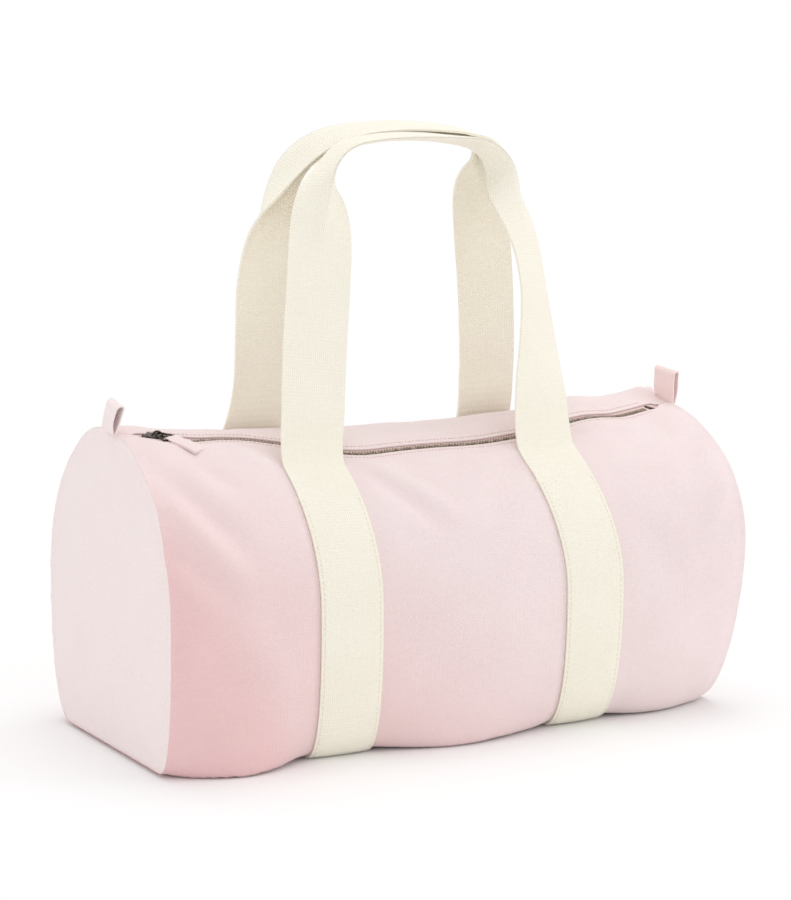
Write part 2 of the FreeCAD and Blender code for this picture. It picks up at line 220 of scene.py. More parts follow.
def bay_share(x):
    """0 at the end seams and under the straps, 1 midway between them."""
    x = abs(x)
    inner = strap_middle - strap_half
    outer = strap_middle + strap_half
    if x <= inner:
        share = 0.5 + 0.5 * x / inner
    else:
        share = max(0.0, min(1.0, (x - outer) / (half_length - outer)))
    return math.sin(math.pi * share) ** 1.2


# Half of the flat that lies on the floor, at the ends and the straps, as (x, reach).
front_foot = (
    (-half_length, 0.0900),
    (-strap_middle, 0.0885),
    (strap_middle, 0.0790),
    (half_length, 0.0600),
)
back_foot = ((-half_length, 0.0860), (half_length, 0.0860))
# How much further the foot and the side reach midway between the straps, in the left,
# middle and right bay: the front slumps forward most at the left.
front_bays = ((0.0320, 0.0080), (0.0260, 0.0070), (0.0170, 0.0030))
back_bays = ((0.0180, 0.0035), (0.0170, 0.0035), (0.0170, 0.0035))


def along_line(line, x):
    """Value at x on a line through (x, value) pairs."""
    for (first, start), (second, end) in zip(line, line[1:]):
        if x <= second:
            return start + (end - start) * (x - first) / (second - first)
    return line[-1][1]


def side_sizes(x, side):
    """Half width, half foot and widest level of the front (-1) or the back (1) at x."""
    bays = front_bays if side < 0 else back_bays
    foot, bulge = bays[(x > -strap_middle) + (x > strap_middle)]
    swell = bay_share(x)
    foot = along_line(front_foot if side < 0 else back_foot, x) + foot * swell
    wide = half_width + bulge * swell
    if side < 0:
        return wide, foot, widest_height + right_lift * smooth(end_bays, half_length, x)
    left = smooth(end_bays, half_length, -x)
    return wide + left_reach * left, foot, widest_height - left_drop * left


section_cache = {}
quarter_steps = 60


def section(x):
    """Outline round the barrel at x from the crest to the front and round: points, runs."""
    key = round(x, 6)
    if key in section_cache:
        return section_cache[key]
    crest = crest_height - crest_sag * (1.0 - (x / half_length) ** 2)
    crest += crest_rise * smooth(*rise_starts, x) * (1.0 - smooth(*rise_ends, x))
    level = foot_level - bay_drop * bay_share(x)
    halves = []
    for side in (-1.0, 1.0):
        wide, foot, widest = side_sizes(x, side)
        power = side_power
        if side < 0:
            power += right_power * smooth(end_bays, half_length, x)
        reach = side * wide - crest_setback
        half = []
        for i in range(quarter_steps):
            a = 0.5 * math.pi * i / quarter_steps
            half.append((crest_setback + reach * math.sin(a),
                         widest + (crest - widest) * math.cos(a)))
        for i in range(quarter_steps + 1):
            a = 0.5 * math.pi * i / quarter_steps
            y = foot + (wide - foot) * max(0.0, math.cos(a)) ** power
            z = level + (widest - level) * (1.0 - math.sin(a) ** power)
            half.append((side * y, z))
        halves.append(half)
    points = halves[0] + halves[1][::-1]
    runs = [0.0]
    for first, second in zip(points, points[1:]):
        runs.append(runs[-1] + math.dist(first, second))
    section_cache[key] = (points, runs)
    return section_cache[key]


def on_section(x, run):
    """Point (y, z) on the outline at x, run metres from the crest by way of the front."""
    points, runs = section(x)
    run %= runs[-1]
    i = max(1, min(len(runs) - 1, bisect.bisect(runs, run)))
    share = (run - runs[i - 1]) / (runs[i] - runs[i - 1])
    first, second = points[i - 1], points[i]
    return tuple(a + (b - a) * share for a, b in zip(first, second))


def run_at(x, y, side):
    """Run from the crest to the place on the upper front (-1) or back (1) that has this y."""
    runs = section(x)[1]
    wide = side_sizes(x, side)[0]
    a = math.asin((y - crest_setback) / (side * wide - crest_setback))
    at = a / (0.5 * math.pi) * quarter_steps
    i = int(at)
    part = runs[i] + (runs[i + 1] - runs[i]) * (at - i)
    if side < 0:
        return part
    last = len(runs) - 1
    return runs[last - i] - (runs[last - i] - runs[last - i - 1]) * (at - i)


# The soft zip wanders a little off its bow: where along X, over what width, how far down.
zip_waves = (
    (-0.143, 0.040, -0.0130),
    (-0.062, 0.026, 0.0045),
    (0.010, 0.030, -0.0016),
    (0.142, 0.042, -0.0065),
)


def zip_run(x):
    """Run from the crest to the middle of the zip, which hangs forward in one bow."""
    x = max(-half_length, min(half_length, x))
    y = zip_bow_centre_y - zip_bow_lean * math.sqrt(zip_bow_radius ** 2 - x * x)
    wander = 0.0
    for middle, width, amount in zip_waves:
        wander += amount * math.exp(-((x - middle) / width) ** 2)
    return run_at(x, y, -1.0) + wander * (1.0 - smooth(*zip_straight, abs(x)))


# Folds of the front: start and end as (x, run from the crest), half width, height.
front_folds = [
    ((-0.238, 0.072), (-0.186, 0.160), 0.0120, -0.0060),
    ((-0.236, 0.112), (-0.192, 0.176), 0.0110, 0.0042),
    ((-0.238, 0.150), (-0.196, 0.196), 0.0100, -0.0039),
    ((-0.196, 0.078), (-0.176, 0.104), 0.0090, -0.0042),
    ((-0.166, 0.062), (-0.136, 0.078), 0.0110, 0.0033),
    ((-0.178, 0.214), (-0.140, 0.172), 0.0140, -0.0036),
    ((-0.226, 0.226), (-0.176, 0.250), 0.0160, -0.0045),
    ((-0.072, 0.072), (-0.008, 0.140), 0.0075, 0.0036),
    ((-0.066, 0.090), (-0.024, 0.146), 0.0080, -0.0033),
    ((-0.060, 0.062), (-0.020, 0.086), 0.0080, -0.0024),
    ((0.066, 0.080), (0.018, 0.128), 0.0110, -0.0027),
    ((-0.058, 0.238), (0.052, 0.262), 0.0220, -0.0033),
    ((0.132, 0.056), (0.190, 0.064), 0.0070, 0.0039),
    ((0.236, 0.076), (0.196, 0.130), 0.0100, -0.0039),
    ((0.238, 0.120), (0.204, 0.180), 0.0100, 0.0030),
    ((0.146, 0.160), (0.186, 0.214), 0.0150, -0.0027),
    ((0.238, 0.232), (0.196, 0.250), 0.0120, -0.0036),
]
# The same for the back, with the run taken from the crest by way of the back.
back_folds = [
    ((-0.238, 0.060), (-0.190, 0.130), 0.0120, -0.0045),
    ((-0.236, 0.110), (-0.196, 0.160), 0.0110, 0.0033),
    ((-0.072, 0.080), (-0.010, 0.130), 0.0100, -0.0033),
    ((0.070, 0.090), (0.020, 0.150), 0.0100, 0.0030),
    ((0.238, 0.070), (0.192, 0.140), 0.0120, -0.0045),
    ((0.150, 0.180), (0.200, 0.230), 0.0150, -0.0033),
    ((-0.160, 0.200), (-0.210, 0.236), 0.0150, -0.0033),
]


def fold_height(folds, x, run):
    """Sum of the folds at a place: each a rounded ridge or valley with faded ends."""
    total = 0.0
    for start, end, width, height in folds:
        along = (end[0] - start[0], end[1] - start[1])
        length = math.hypot(*along)
        du, dv = x - start[0], run - start[1]
        share = (du * along[0] + dv * along[1]) / length ** 2
        if -0.6 < share < 1.6:
            off = (du * along[1] - dv * along[0]) / length
            fade = smooth(-0.25, 0.35, share) * (1.0 - smooth(0.55, 1.3, share))
            total += height * fade * math.exp(-(off / width) ** 2)
    return total


pucker_depth = 0.0011        # gathers beside the end seams
pucker_waves = (0.0023, 0.0061)
pucker_fade = 0.0090
pucker_start = (0.0, 0.004)  # from the seam
seam_roll = 0.0016           # the canvas rolls up beside the end seams
roll_rise = (0.002, 0.016)   # from the seam, where it rises and where it falls
roll_fall = (0.016, 0.045)
broad_wave = (0.070, 0.0018)    # spacing and height of its soft unevenness
fine_wave = (0.027, 0.0007)
wave_start = (0.0, 0.02)     # from the seam
strap_hold = (-0.002, 0.014)    # from a strap's edge, where the canvas comes free of it
zip_hold = (0.006, 0.024)    # the same from the zip
lip_round = 0.0022           # its folded edges stand up beside the zip
lip_away = 0.0200            # highest this far from the zip
lip_spread = 0.0100
lip_start = (0.0, 0.03)      # from the seam
lip_ends = (0.15, 0.19)      # along X, where they flatten to half at the right


def slack(x, run):
    """How far the canvas stands out from the plain barrel at a place."""
    whole = section(x)[1][-1]
    near_zip = abs(run - zip_run(x))
    near_zip = min(near_zip, abs(run - whole - zip_run(x)))
    edge = half_length - abs(x)
    pucker = math.sin(run / pucker_waves[0]) * math.sin(run / pucker_waves[1] + 1.0)
    out = pucker_depth * pucker * math.exp(-edge / pucker_fade) * smooth(*pucker_start, edge)
    out += seam_roll * smooth(*roll_rise, edge) * (1.0 - smooth(*roll_fall, edge))
    out += fold_height(front_folds, x, run) + fold_height(back_folds, x, whole - run)
    spot = Vector((x, *on_section(x, run)))
    broad = noise.noise(spot / broad_wave[0]) * broad_wave[1]
    fine = noise.noise(spot / fine_wave[0]) * fine_wave[1]
    out += (broad + fine) * smooth(*wave_start, edge)
    strap_edge = abs(abs(x) - strap_middle) - strap_half
    held = smooth(*strap_hold, strap_edge)
    free = smooth(*zip_hold, near_zip)
    rounded = lip_round * math.exp(-((near_zip - lip_away) / lip_spread) ** 2)
    rounded *= 1.0 - 0.5 * smooth(*lip_ends, x)
    behind = zip_run(x) - run if run < 0.5 * whole else zip_run(x) + whole - run
    ridge = crest_ridge * math.exp(-((behind - ridge_behind) / ridge_spread) ** 2)
    ridge *= smooth(*ridge_grows, x)
    return out * held * free + rounded * held * smooth(*lip_start, edge) + ridge


def on_barrel(x, run, lift):
    """Point on the slumped barrel, lifted off the canvas face."""
    reach = 0.0012
    y, z = on_section(x, run)
    before = on_section(x, run - reach)
    after = on_section(x, run + reach)
    along = Vector((after[0] - before[0], after[1] - before[1])).normalized()
    out = lift + slack(x, run)
    lean = end_lean * smooth(*lean_levels, z) * smooth(lean_start, half_length, -x)
    return Vector((x + lean, y + along.y * out, max(floor_gap, z - along.x * out)))


def grid_piece(name, columns, rows, place, flat):
    """Sheet of columns by rows cells; place and flat give each share pair its point and UV."""
    mesh = bmesh.new()
    bmesh.ops.create_grid(mesh, x_segments=columns, y_segments=rows, size=0.5)
    layer = mesh.loops.layers.uv.new("Flat cut")
    shares = {}
    for vert in mesh.verts:
        shares[vert] = (vert.co.x + 0.5, vert.co.y + 0.5)
    for face in mesh.faces:
        face.smooth = True
        for loop in face.loops:
            loop[layer].uv = flat(*shares[loop.vert])
    for vert, pair in shares.items():
        vert.co = place(*pair)
    for edge in mesh.edges:
        edge.smooth = not edge.is_boundary
    return finished(name, mesh)


def finished(name, mesh):
    """Object made from a bmesh, in the scene."""
    data = bpy.data.meshes.new(name)
    mesh.to_mesh(data)
    mesh.free()
    piece = bpy.data.objects.new(name, data)
    bpy.context.scene.collection.objects.link(piece)
    return piece


def thicken(piece, thickness, offset):
    """Gives a sheet its thickness: before its faces (1), behind them (-1) or both (0)."""
    wall = piece.modifiers.new("Thickness", "SOLIDIFY")
    wall.thickness = thickness
    wall.offset = offset
    wall.use_even_offset = False


def linear(code):
    """Linear colour from an sRGB hex value."""
    parts = [int(code[i:i + 2], 16) / 255 for i in (1, 3, 5)]
    return [c / 12.92 if c <= 0.04045 else ((c + 0.055) / 1.055) ** 2.4 for c in parts] + [1.0]


def material(name):
    """New material with its shader node, and its tree."""
    made = bpy.data.materials.new(name)
    made.use_nodes = True
    return made, made.node_tree, made.node_tree.nodes["Principled BSDF"]


def add(tree, kind, inputs=(), **settings):
    """Adds a node with its settings; each input is a value or the socket it comes from."""
    made = tree.nodes.new(kind)
    for key, value in settings.items():
        setattr(made, key, value)
    feed(tree, made, inputs)
    return made


def feed(tree, made, inputs):
    """Sets or links a node's inputs."""
    for key, value in dict(inputs).items():
        if isinstance(value, bpy.types.NodeSocket):
            tree.links.new(value, made.inputs[key])
        else:
            made.inputs[key].default_value = value


wave_period = 0.314159       # a wave texture's bands at scale 1
weave_relief = 0.0004
mottle_per_metre = 22.0      # soft patches of dye, about 45 mm across
painted_shade_slope = (-1.0, -0.5, -1.3)      # painted shade: deeper downwards, forwards and to the left
painted_corner_shade_slope = (-1.2, -0.5, -0.6)   # and painted deeper again in the lower left corner


def cloth(name, light, dark, thread, rib, bump, roughness, low=None):
    """Woven cotton on the piece's flat cut: two shades, thread spacings, and a deeper colour painted in as shade low
    down.
    """
    made, tree, shader = material(name)
    place = add(tree, "ShaderNodeUVMap", uv_map="Flat cut").outputs["UV"]
    waves = []
    for direction, spacing in zip("XY", thread):
        wave = add(tree, "ShaderNodeTexWave", {
            "Vector": place,
            "Scale": wave_period / spacing,
            "Distortion": 0.6,
            "Detail": 1.0,
            "Detail Scale": 2.0,
        }, wave_type="BANDS", bands_direction=direction)
        waves.append(wave.outputs["Fac"])
    weave = add(tree, "ShaderNodeMath", {0: waves[0], 1: waves[1]}, operation="MULTIPLY")
    weave = weave.outputs[0]
    slub = add(tree, "ShaderNodeTexNoise", {"Vector": place, "Scale": 1.0 / rib, "Detail": 3.0})
    mottle = add(tree, "ShaderNodeTexNoise",
                 {"Vector": place, "Scale": mottle_per_metre, "Detail": 2.0})
    tone = add(tree, "ShaderNodeMath", {0: slub.outputs["Fac"], 1: 0.5}, operation="MULTIPLY")
    for part, amount in ((weave, 0.35), (mottle.outputs["Fac"], 0.45)):
        tone = add(tree, "ShaderNodeMath", {0: part, 1: amount, 2: tone.outputs[0]},
                   operation="MULTIPLY_ADD")
    ramp = add(tree, "ShaderNodeMapRange",
               {"Value": tone.outputs[0], "From Min": 0.25, "From Max": 0.85})
    shade = add(tree, "ShaderNodeMix",
                {0: ramp.outputs["Result"], 6: linear(dark), 7: linear(light)},
                data_type="RGBA")
    # Painted shade: the colour is multiplied by the low colour, more downwards, forwards and to the left, and again in
    # the lower left corner.
    if low:
        spot = add(tree, "ShaderNodeTexCoord").outputs["Object"]
        painted_shade_depth = add(tree, "ShaderNodeVectorMath", {0: spot, 1: painted_shade_slope},
                    operation="DOT_PRODUCT")
        share = add(tree, "ShaderNodeMapRange", {
            "Value": painted_shade_depth.outputs["Value"],
            "From Min": -0.10, "From Max": 0.08, "To Min": 0.08, "To Max": 0.50,
        })
        painted_shade_depth = add(tree, "ShaderNodeVectorMath", {0: spot, 1: painted_corner_shade_slope},
                    operation="DOT_PRODUCT")
        corner = add(tree, "ShaderNodeMapRange", {
            "Value": painted_shade_depth.outputs["Value"],
            "From Min": 0.20, "From Max": 0.27, "To Max": 0.40,
        }, interpolation_type="SMOOTHSTEP")
        share = add(tree, "ShaderNodeMath",
                    {0: share.outputs["Result"], 1: corner.outputs["Result"]})
        shade = add(tree, "ShaderNodeMix",
                    {0: share.outputs[0], 6: shade.outputs[2], 7: linear(low)},
                    data_type="RGBA", blend_type="MULTIPLY")
    height = add(tree, "ShaderNodeBump",
                 {"Height": weave, "Strength": bump, "Distance": weave_relief})
    gloss = add(tree, "ShaderNodeMapRange",
                {"Value": slub.outputs["Fac"],
                 "To Min": roughness - 0.06, "To Max": roughness + 0.06})
    feed(tree, shader, {"Base Color": shade.outputs[2], "Roughness": gloss.outputs["Result"],
                        "Normal": height.outputs["Normal"], "Specular IOR Level": 0.2,
                        "Sheen Weight": 0.15, "Sheen Roughness": 0.6})
    return made


# Dyed plain-weave cotton duck: matt and faintly mottled, with painted shade that turns it a warmer pink low down on the
# left.
# Its threads lie 0.5 mm apart; drawn 1.3 mm apart, they show in the picture.
canvas_threads = (0.0013, 0.0013)
canvas_slub = 0.004
# Its last colour is painted shade, a warmer pink multiplied in low down on the left.
pink_canvas_painted_shade = cloth("pink cotton canvas", "#F1E4E3", "#EBDAD9", canvas_threads, canvas_slub,
                    0.35, 0.86, "#FADEDF")


def lip_gap(x):
    """Half of the slot for the zip at x; it closes just past the stops."""
    half = lip_half_gap - lip_closing * (1.0 - smooth(*lip_opens, abs(x)))
    return slot_least + half * (1.0 - smooth(slot_end, slot_close, abs(x)))


def body_runs(x):
    """Runs of the front and the back canvas edge at x."""
    whole = section(x)[1][-1]
    middle = zip_run(x)
    return middle + lip_gap(x), whole + middle - lip_gap(x)


def body_flat(u, v):
    """Place on the flat cut of a share pair: along the barrel, and round it."""
    x = half_length * (2.0 * u - 1.0)
    start, end = body_runs(x)
    return x, start + (end - start) * v


body_panel = grid_piece("body_panel_canvas", 168, 236,
                        lambda u, v: on_barrel(*body_flat(u, v), 0.0), body_flat)
thicken(body_panel, canvas_thickness, 1.0)
body_panel.data.materials.append(pink_canvas_painted_shade)
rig.ride(body_panel, "bag")
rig.replaces(body_panel, "body_panel")
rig.slot(body_panel, "canvas")

# End panels: rounded discs of the same canvas, a shade paler, sewn edge to edge with
# the wrap and pushed out a little by the seam allowance behind the stitching.

rim_inset = 0.0002           # the disc's rim, from the end of the wrap
rim_sink = 0.0006            # and below the wrap's face
disc_middle = (0.004, 0.118)    # Y and Z
end_swell = 0.0070
seam_lip = 0.0012            # the disc's edge stands proud of the seam
rim_gather = (0.018, 0.0006)    # spacing and height of the gathers beside the seam
disc_wave = (0.060, 0.0020)     # spacing and height of its soft unevenness

# The same cotton duck, a shade paler: matt and faintly mottled.
pale_canvas = cloth("pale cotton canvas", "#F5E9E8", "#F0E0DF", canvas_threads, canvas_slub,
                    0.3, 0.86)


ends = (("left", -1.0), ("right", 1.0))


def end_place(turn):
    """Place and flat functions of the end panel at that end; turn -1 is the left."""
    edge = turn * (half_length - rim_inset)
    whole = section(edge)[1][-1]
    gathers = round(whole / rim_gather[0])
    middle = Vector((edge, *disc_middle))

    def place(u, v):
        rim = on_barrel(edge, u * whole, -rim_sink)
        spot = middle + (rim - middle) * v
        swell = end_swell * (1.0 - v ** 2.4)
        lip = seam_lip * smooth(0.93, 0.975, v) * (1.0 - smooth(0.985, 1.0, v))
        pucker = rim_gather[1] * math.sin(math.tau * u * gathers) * math.sin(math.tau * u * 17.0)
        pucker *= smooth(0.80, 0.96, v) * (1.0 - smooth(0.97, 1.0, v))
        broad = disc_wave[1] * noise.noise(Vector((spot.y, spot.z, 2.0 * turn)) / disc_wave[0])
        broad *= 1.0 - v ** 4
        spot.x += turn * (swell + lip + pucker + broad)
        return spot

    def flat(u, v):
        spot = place(u, v)
        return spot.y, spot.z

    return place, flat


def close_disc(piece):
    """Merges the disc's middle and the two sides of its cut, facing outwards."""
    mesh = bmesh.new()
    mesh.from_mesh(piece.data)
    bmesh.ops.remove_doubles(mesh, verts=mesh.verts, dist=0.00002)
    bmesh.ops.recalc_face_normals(mesh, faces=mesh.faces)
    for edge in mesh.edges:
        edge.smooth = not edge.is_boundary
    out = piece.name.startswith("right") * 2 - 1
    if sum(face.normal.x for face in mesh.faces) * out < 0:
        bmesh.ops.reverse_faces(mesh, faces=mesh.faces)
    mesh.to_mesh(piece.data)
    mesh.free()


for end, turn in ends:
    panel = grid_piece(end + "_end_panel_canvas", 200, 44, *end_place(turn))
    close_disc(panel)
    thicken(panel, canvas_thickness, -1.0)
    panel.data.materials.append(pale_canvas)
    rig.ride(panel, "bag")
    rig.replaces(panel, end + "_end_panel")
    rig.slot(panel, "end_canvas")

# Seam bindings: cotton tape folded over the raw edges of each end seam, inside the bag,
# and caught by a row of the seam's own stitching. It keeps the cut canvas from fraying.

binding_half = 0.0060
binding_inset = 0.0075       # its middle, from the end seam
binding_depth = 0.0028       # its outer face, below the canvas face
binding_thickness = 0.0012

# Ribbed cotton tape: matt, a deeper pink than the canvas. Its ribs are drawn about twice
# as far apart as they lie, so that they show.
binding_cotton = cloth("binding cotton tape", "#F0DAD5", "#E6C9C4", (0.0011, 0.0020), 0.004,
                       0.4, 0.85)

for end, turn in ends:
    middle = turn * (half_length - binding_inset)

    def binding_flat(u, v):
        x = middle + binding_half * (2.0 * u - 1.0)
        return x, v * section(x)[1][-1]

    binding = grid_piece(end + "_binding_tape", 4, 160,
                         lambda u, v: on_barrel(*binding_flat(u, v), -binding_depth),
                         binding_flat)
    thicken(binding, binding_thickness, 1.0)
    binding.data.materials.append(binding_cotton)
    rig.ride(binding, "bag")
    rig.replaces(binding, end + "_seam_binding")
    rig.slot(binding, "binding_tape")

# Straps: 50 mm cream cotton webbing sewn to the canvas from handle to handle, down
# the front, under the foot and up the back, along both of its edges.

webbing_thickness = 0.0018
strap_lift = 0.0022          # outer face above the canvas, at its edges
strap_crown = 0.0008         # and more in the middle, where no stitching draws it down
left_lean = -0.0030          # the tops of the straps at the front lean to the left
right_lean = -0.0105
lean_runs = (0.080, 0.205)   # from the crest, where they straighten
front_leave = -0.062         # Y where the handles leave the barrel
back_leave = 0.058
handle_overlap = 0.034       # run of webbing below the leaving line that goes with the handle
strap_tuck = 0.006           # its ends go on under the handle's
tuck_sink = 0.0006           # and lie lower there

# Heavy woven cotton, undyed: matt, warm white, with a plain ribbed relief. Its threads lie
# about 1 mm apart; drawn 1.6 and 2.4 mm apart, they show in the picture.
cream_webbing = cloth("cream cotton webbing", "#F8F4E6", "#F0EADA", (0.0016, 0.0024), 0.003,
                      0.6, 0.88)


def strap_x(turn, run):
    """Middle of a strap at a run from the crest; its top at the front leans to the left."""
    lean = left_lean if turn < 0 else right_lean
    return turn * strap_middle + lean * (1.0 - smooth(*lean_runs, run))


def strap_face(turn, across, run, sink=0.0):
    """Point on the webbing's outer face, across from -1 to 1."""
    x = strap_x(turn, run) + strap_half * across
    return on_barrel(x, run, strap_lift - sink + strap_crown * (1.0 - across ** 4))


def leave_run(turn, side):
    """Run from the crest to the line where the handle leaves, front (-1) or back (1)."""
    return run_at(turn * strap_middle, front_leave if side < 0 else back_leave, side)


stitch_share = 0.68          # of its length that a stitch shows on top
stitch_depth = 0.004         # a point this far inside gives a stitch its outward direction


def stitch_spot(here, x, run):
    """A place on a row of stitches with its outward direction."""
    return here, (here - on_barrel(x, run, -stitch_depth)).normalized()


def blocks(name, places, bevel):
    """Small bevelled blocks, each with its middle, its three directions and its size."""
    mesh = bmesh.new()
    for middle, directions, size in places:
        turned = Matrix(directions).transposed().to_4x4()
        spot = Matrix.Translation(middle) @ turned @ Matrix.Diagonal((*size, 1.0))
        bmesh.ops.create_cube(mesh, size=1.0, matrix=spot)
    bmesh.ops.bevel(mesh, geom=mesh.edges[:], offset=bevel, segments=1, profile=0.5,
                    affect="EDGES", material=-1)
    return finished(name, mesh)


def stitched(name, rows, thread, length):
    """Stitches along each row of places and outward directions."""
    size = (length * stitch_share, thread, thread * 0.8)
    places = []
    for row in rows:
        left = 0.0
        for (first, out), (second, _) in zip(row, row[1:]):
            left += (second - first).length
            if left >= length:
                left -= length
                ahead = (second - first).normalized()
                across = out.cross(ahead).normalized()
                places.append((first, (ahead, across, ahead.cross(across)), size))
    stitches = blocks(name, places, thread * 0.25)
    stitches.data.shade_smooth()
    return stitches


def plain(name, light, dark, grain, roughness):
    """Plain finish with a slight grain: two shades and a grain size in metres."""
    made, tree, shader = material(name)
    place = add(tree, "ShaderNodeTexCoord").outputs["Object"]
    grit = add(tree, "ShaderNodeTexNoise", {"Vector": place, "Scale": 1.0 / grain, "Detail": 2.0})
    shade = add(tree, "ShaderNodeMix",
                {0: grit.outputs["Fac"], 6: linear(dark), 7: linear(light)},
                data_type="RGBA")
    gloss = add(tree, "ShaderNodeMapRange",
                {"Value": grit.outputs["Fac"],
                 "To Min": roughness - 0.08, "To Max": roughness + 0.08})
    feed(tree, shader, {"Base Color": shade.outputs[2], "Roughness": gloss.outputs["Result"]})
    return made


# Spun cotton sewing thread, matched to the webbing: matt, with a fine grain.
cream_thread = plain("cream cotton thread", "#F6EFDC", "#E4DBC4", 0.0008, 0.8)
stitch_inset = 0.90          # of the strap's half width
strap_thread = 0.0007
strap_stitch = 0.0042
stitch_margin = 0.002        # from the end of the strap
row_steps = 900              # places along a row

for end, turn in ends:
    start = leave_run(turn, -1.0) + handle_overlap - strap_tuck
    finish = leave_run(turn, 1.0) - handle_overlap + strap_tuck

    def strap_flat(u, v):
        return strap_half * (2.0 * u - 1.0), start + (finish - start) * v

    def strap_place(u, v):
        run = strap_flat(u, v)[1]
        sink = tuck_sink * (1.0 - smooth(0.0, strap_tuck, min(run - start, finish - run)))
        return strap_face(turn, 2.0 * u - 1.0, run, sink)

    strap = grid_piece(end + "_strap_webbing", 14, 200, strap_place, strap_flat)
    thicken(strap, webbing_thickness, 1.0)
    strap.data.materials.append(cream_webbing)
    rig.ride(strap, "bag")
    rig.replaces(strap, end + "_strap")
    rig.slot(strap, "webbing")

    rows = []
    for across in (-stitch_inset, stitch_inset):
        row = []
        for i in range(row_steps):
            run = start + stitch_margin + (finish - start - 2.0 * stitch_margin) * i / row_steps
            here = strap_face(turn, across, run)
            row.append(stitch_spot(here, here.x, run))
        rows.append(row)
    stitches = stitched(end + "_strap_stitches", rows, strap_thread, strap_stitch)
    stitches.data.materials.append(cream_thread)
    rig.ride(stitches, "bag")
    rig.slot(stitches, "webbing")

# Handles: the free runs of the same webbing. Each leg stands up flat from the barrel,
# folds lengthwise in half towards the top and goes over as a narrow double grip.

handle_rise = 0.024          # run over which a leg turns off the barrel
rise_creep = 0.6             # share of it by which the leg still goes up the barrel
fold_angle = 86.0            # each half of the grip turns this far, in degrees
fold_gap = 0.0016            # half of the gap between the two halves
fold_round = 0.0012          # rounds the fold, as a share of the half width squared
fold_sharp = 6.0             # how soon the halves are that far apart
blend_outside = 0.012        # the webbing starts to turn this far below and outside its hinge
blend_inside = 0.010         # and has turned this far inside
blend_above = 0.035          # and above it


def along_path(points, share):
    """Point on a smooth curve through the points, share 0 to 1."""
    at = share * (len(points) - 1)
    i = min(len(points) - 2, int(at))
    t = at - i
    p1, p2 = points[i], points[i + 1]
    p0 = points[i - 1] if i else [2.0 * a - b for a, b in zip(p1, p2)]
    p3 = points[i + 2] if i + 2 < len(points) else [2.0 * b - a for a, b in zip(p1, p2)]
    spot = []
    for a, b, c, d in zip(p0, p1, p2, p3):
        bend = 2 * a - 5 * b + 4 * c - d + t * (3 * (b - c) + d - a)
        spot.append(b + 0.5 * t * (c - a + t * bend))
    return spot


# Stations over a handle from its left leg to its right: x, y, z of the middle, then
# the fold from 0 flat to 1 doubled, and the turn of its width in degrees.
front_stations = [
    (-0.1060, -0.0590, 0.2260, 0.00, 0.0),
    (-0.1025, -0.0520, 0.2560, 0.00, 3.0),
    (-0.0965, -0.0430, 0.2960, 0.00, 5.0),
    (-0.0895, -0.0345, 0.3360, 0.00, 5.0),
    (-0.0835, -0.0270, 0.3720, 0.05, 4.0),
    (-0.0770, -0.0205, 0.4040, 0.38, 0.0),
    (-0.0705, -0.0160, 0.4295, 0.92, -6.0),
    (-0.0550, -0.0140, 0.4450, 1.00, -12.0),
    (-0.0290, -0.0135, 0.4510, 1.00, -14.0),
    (0.0050, -0.0135, 0.4530, 1.00, -14.0),
    (0.0370, -0.0135, 0.4520, 1.00, -10.0),
    (0.0620, -0.0140, 0.4480, 1.00, 0.0),
    (0.0785, -0.0160, 0.4340, 0.88, 14.0),
    (0.0885, -0.0200, 0.4060, 0.34, 28.0),
    (0.0960, -0.0260, 0.3730, 0.05, 35.0),
    (0.0995, -0.0335, 0.3350, 0.00, 36.0),
    (0.0985, -0.0420, 0.2950, 0.00, 26.0),
    (0.0950, -0.0515, 0.2575, 0.00, 10.0),
    (0.0935, -0.0590, 0.2290, 0.00, 0.0),
]
back_stations = [
    (-0.0985, 0.0550, 0.2370, 0.00, 0.0),
    (-0.0985, 0.0480, 0.2680, 0.00, -6.0),
    (-0.1015, 0.0405, 0.3060, 0.00, -11.0),
    (-0.1050, 0.0330, 0.3450, 0.06, -15.0),
    (-0.1050, 0.0260, 0.3830, 0.34, -19.0),
    (-0.0975, 0.0200, 0.4120, 0.80, -26.0),
    (-0.0845, 0.0160, 0.4345, 0.98, -34.0),
    (-0.0635, 0.0140, 0.4495, 1.00, -30.0),
    (-0.0340, 0.0135, 0.4580, 1.00, -20.0),
    (0.0010, 0.0135, 0.4610, 1.00, -14.0),
    (0.0380, 0.0135, 0.4600, 1.00, -10.0),
    (0.0650, 0.0140, 0.4555, 0.98, -6.0),
    (0.0785, 0.0160, 0.4410, 0.64, -4.0),
    (0.0805, 0.0200, 0.4110, 0.08, -2.0),
    (0.0855, 0.0260, 0.3780, 0.00, 0.0),
    (0.0925, 0.0330, 0.3410, 0.00, 0.0),
    (0.0985, 0.0405, 0.3030, 0.00, 0.0),
    (0.1030, 0.0480, 0.2700, 0.00, 0.0),
    (0.1040, 0.0550, 0.2410, 0.00, 0.0),
]


